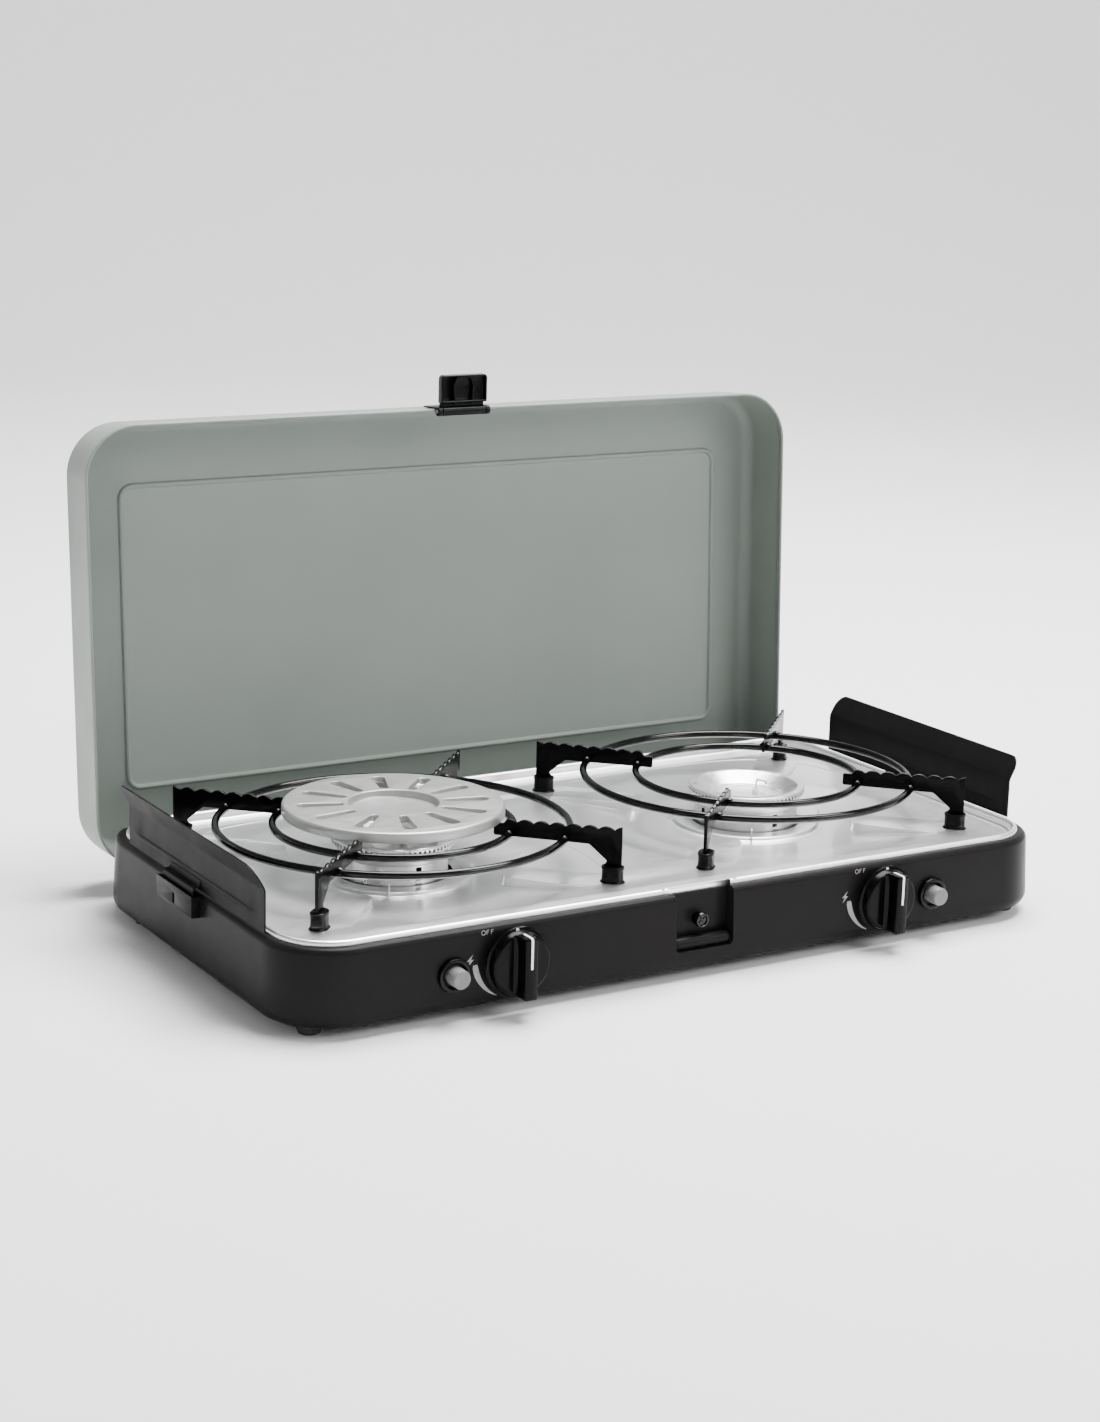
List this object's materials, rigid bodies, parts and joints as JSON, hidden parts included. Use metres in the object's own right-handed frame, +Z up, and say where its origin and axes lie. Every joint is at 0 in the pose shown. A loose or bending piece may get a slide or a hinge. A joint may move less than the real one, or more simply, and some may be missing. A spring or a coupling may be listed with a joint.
{
  "type": "camping stove",
  "caption": "Folding gas camping stove with steel drip tray, burners, lift-off pan supports, heat plate, knobs, push igniters, side windshields and a hinged lid with a latch",
  "frame": {"origin": "on the ground, under the middle of the stove's outline with the lid open", "axes": "X runs right along the length, Y runs back from the controls to the lid hinge, Z is up"},
  "size_m": [0.5566, 0.3738, 0.3257],
  "materials": {
    "black_enamel": "satin black stoved enamel on pressed steel",
    "rubber": "soft black rubber",
    "stainless_tray": "bright pressed stainless steel",
    "zinc_steel": "bright zinc-plated steel",
    "socket_black": "gloss black enamel",
    "cast_aluminium": "machined cast aluminium",
    "collar_steel": "bright steel strip",
    "ceramic": "glazed white ceramic insulator",
    "brass": "turned brass",
    "copper_pipe": "drawn copper pipe",
    "black_plastic": "moulded black plastic",
    "knob_black": "gloss black phenolic",
    "lead_jacket": "black silicone lead jacket",
    "lid_paint": "satin grey-green stoved enamel on pressed steel",
    "latch_black": "moulded black plastic",
    "shield_black": "satin black stoved enamel on steel strip",
    "pointer_white": "white paint line",
    "button_grey": "smooth mid grey plastic",
    "support_enamel": "gloss black vitreous enamel on steel",
    "plate_aluminium": "light satin aluminium"
  },
  "bodies": {
    "base": {"base_casing": "black_enamel", "drip_tray": "stainless_tray", "rubber_feet": "rubber", "foot_screws": "zinc_steel", "foot_nuts": "zinc_steel", "catch_stud": "black_enamel", "left_hinge_bracket": "zinc_steel", "right_hinge_bracket": "zinc_steel", "hinge_pins": "zinc_steel", "floor_rivets_set": "zinc_steel", "support_sockets": "socket_black", "left_burner_body": "cast_aluminium", "right_burner_body": "cast_aluminium", "left_burner_head": "cast_aluminium", "right_burner_head": "cast_aluminium", "left_burner_collar": "collar_steel", "right_burner_collar": "collar_steel", "left_burner_stand": "zinc_steel", "right_burner_stand": "zinc_steel", "burner_screws": "zinc_steel", "left_electrode": "ceramic", "right_electrode": "ceramic", "left_spark_wire": "zinc_steel", "right_spark_wire": "zinc_steel", "left_mixing_tube": "zinc_steel", "right_mixing_tube": "zinc_steel", "left_jet": "brass", "right_jet": "brass", "left_valve_body": "brass", "right_valve_body": "brass", "left_valve_bracket": "zinc_steel", "right_valve_bracket": "zinc_steel", "manifold_pipe": "copper_pipe", "gas_inlet": "brass", "inlet_nut": "brass", "left_igniter_bezel": "black_plastic", "right_igniter_bezel": "black_plastic", "left_piezo": "black_plastic", "right_piezo": "black_plastic", "ignition_leads": "lead_jacket"},
    "lid": {"lid_shell": "lid_paint", "left_hinge_arm": "zinc_steel", "right_hinge_arm": "zinc_steel", "hinge_rivets": "zinc_steel", "latch_bracket": "latch_black", "latch_pin": "zinc_steel"},
    "latch": {"latch_flap": "latch_black"},
    "left_shield": {"left_windshield": "shield_black"},
    "right_shield": {"right_windshield": "shield_black"},
    "left_valve_spindle": {"left_spindle": "brass"},
    "right_valve_spindle": {"right_spindle": "brass"},
    "left_control": {"left_knob": "knob_black", "left_knob_pointer": "pointer_white"},
    "right_control": {"right_knob": "knob_black", "right_knob_pointer": "pointer_white"},
    "left_igniter": {"left_igniter_button": "button_grey"},
    "right_igniter": {"right_igniter_button": "button_grey"},
    "left_support": {"left_support_rings": "support_enamel", "left_support_arms": "support_enamel"},
    "right_support": {"right_support_rings": "support_enamel", "right_support_arms": "support_enamel"},
    "heat_plate": {"disc_plate": "plate_aluminium"}
  },
  "joints": [
    {"name": "lid_hinge", "type": "hinge", "parent": "base", "child": "lid", "pos_m": [0, 0.1095, 0.0314], "axis": [-1, 0, 0], "range_deg": [-92.7, 0]},
    {"name": "latch_hinge", "type": "hinge", "parent": "lid", "child": "latch", "pos_m": [0, 0.14087, 0.30172], "axis": [-1, 0, 0], "range_deg": [-87.3, 0]},
    {"name": "left_windshield_lift", "type": "slide", "parent": "base", "child": "left_shield", "axis": [0, 0, 1], "range_m": [0, 0.05]},
    {"name": "left_valve_turn", "type": "hinge", "parent": "base", "child": "left_valve_spindle", "pos_m": [-0.132, -0.167, 0.0315], "axis": [0, -1, 0], "range_deg": [0, 180]},
    {"name": "left_knob_press", "type": "slide", "parent": "left_valve_spindle", "child": "left_control", "axis": [0, 1, 0], "range_m": [0, 0.0025], "stiffness_N_per_m": 900, "springref_m": -0.002},
    {"name": "left_igniter_press", "type": "slide", "parent": "base", "child": "left_igniter", "axis": [0, 1, 0], "range_m": [0, 0.004], "stiffness_N_per_m": 1200, "springref_m": -0.003},
    {"name": "left_support_lift", "type": "slide", "parent": "base", "child": "left_support", "axis": [0, 0, 1], "range_m": [0, 0.06]},
    {"name": "right_windshield_lift", "type": "slide", "parent": "base", "child": "right_shield", "axis": [0, 0, 1], "range_m": [0, 0.05]},
    {"name": "right_valve_turn", "type": "hinge", "parent": "base", "child": "right_valve_spindle", "pos_m": [0.132, -0.167, 0.0315], "axis": [0, -1, 0], "range_deg": [0, 180]},
    {"name": "right_knob_press", "type": "slide", "parent": "right_valve_spindle", "child": "right_control", "axis": [0, 1, 0], "range_m": [0, 0.0025], "stiffness_N_per_m": 900, "springref_m": -0.002},
    {"name": "right_igniter_press", "type": "slide", "parent": "base", "child": "right_igniter", "axis": [0, 1, 0], "range_m": [0, 0.004], "stiffness_N_per_m": 1200, "springref_m": -0.003},
    {"name": "right_support_lift", "type": "slide", "parent": "base", "child": "right_support", "axis": [0, 0, 1], "range_m": [0, 0.06]},
    {"name": "heat_plate_lift", "type": "slide", "parent": "left_support", "child": "heat_plate", "axis": [0, 0, 1], "range_m": [0, 0.05]}
  ]
}
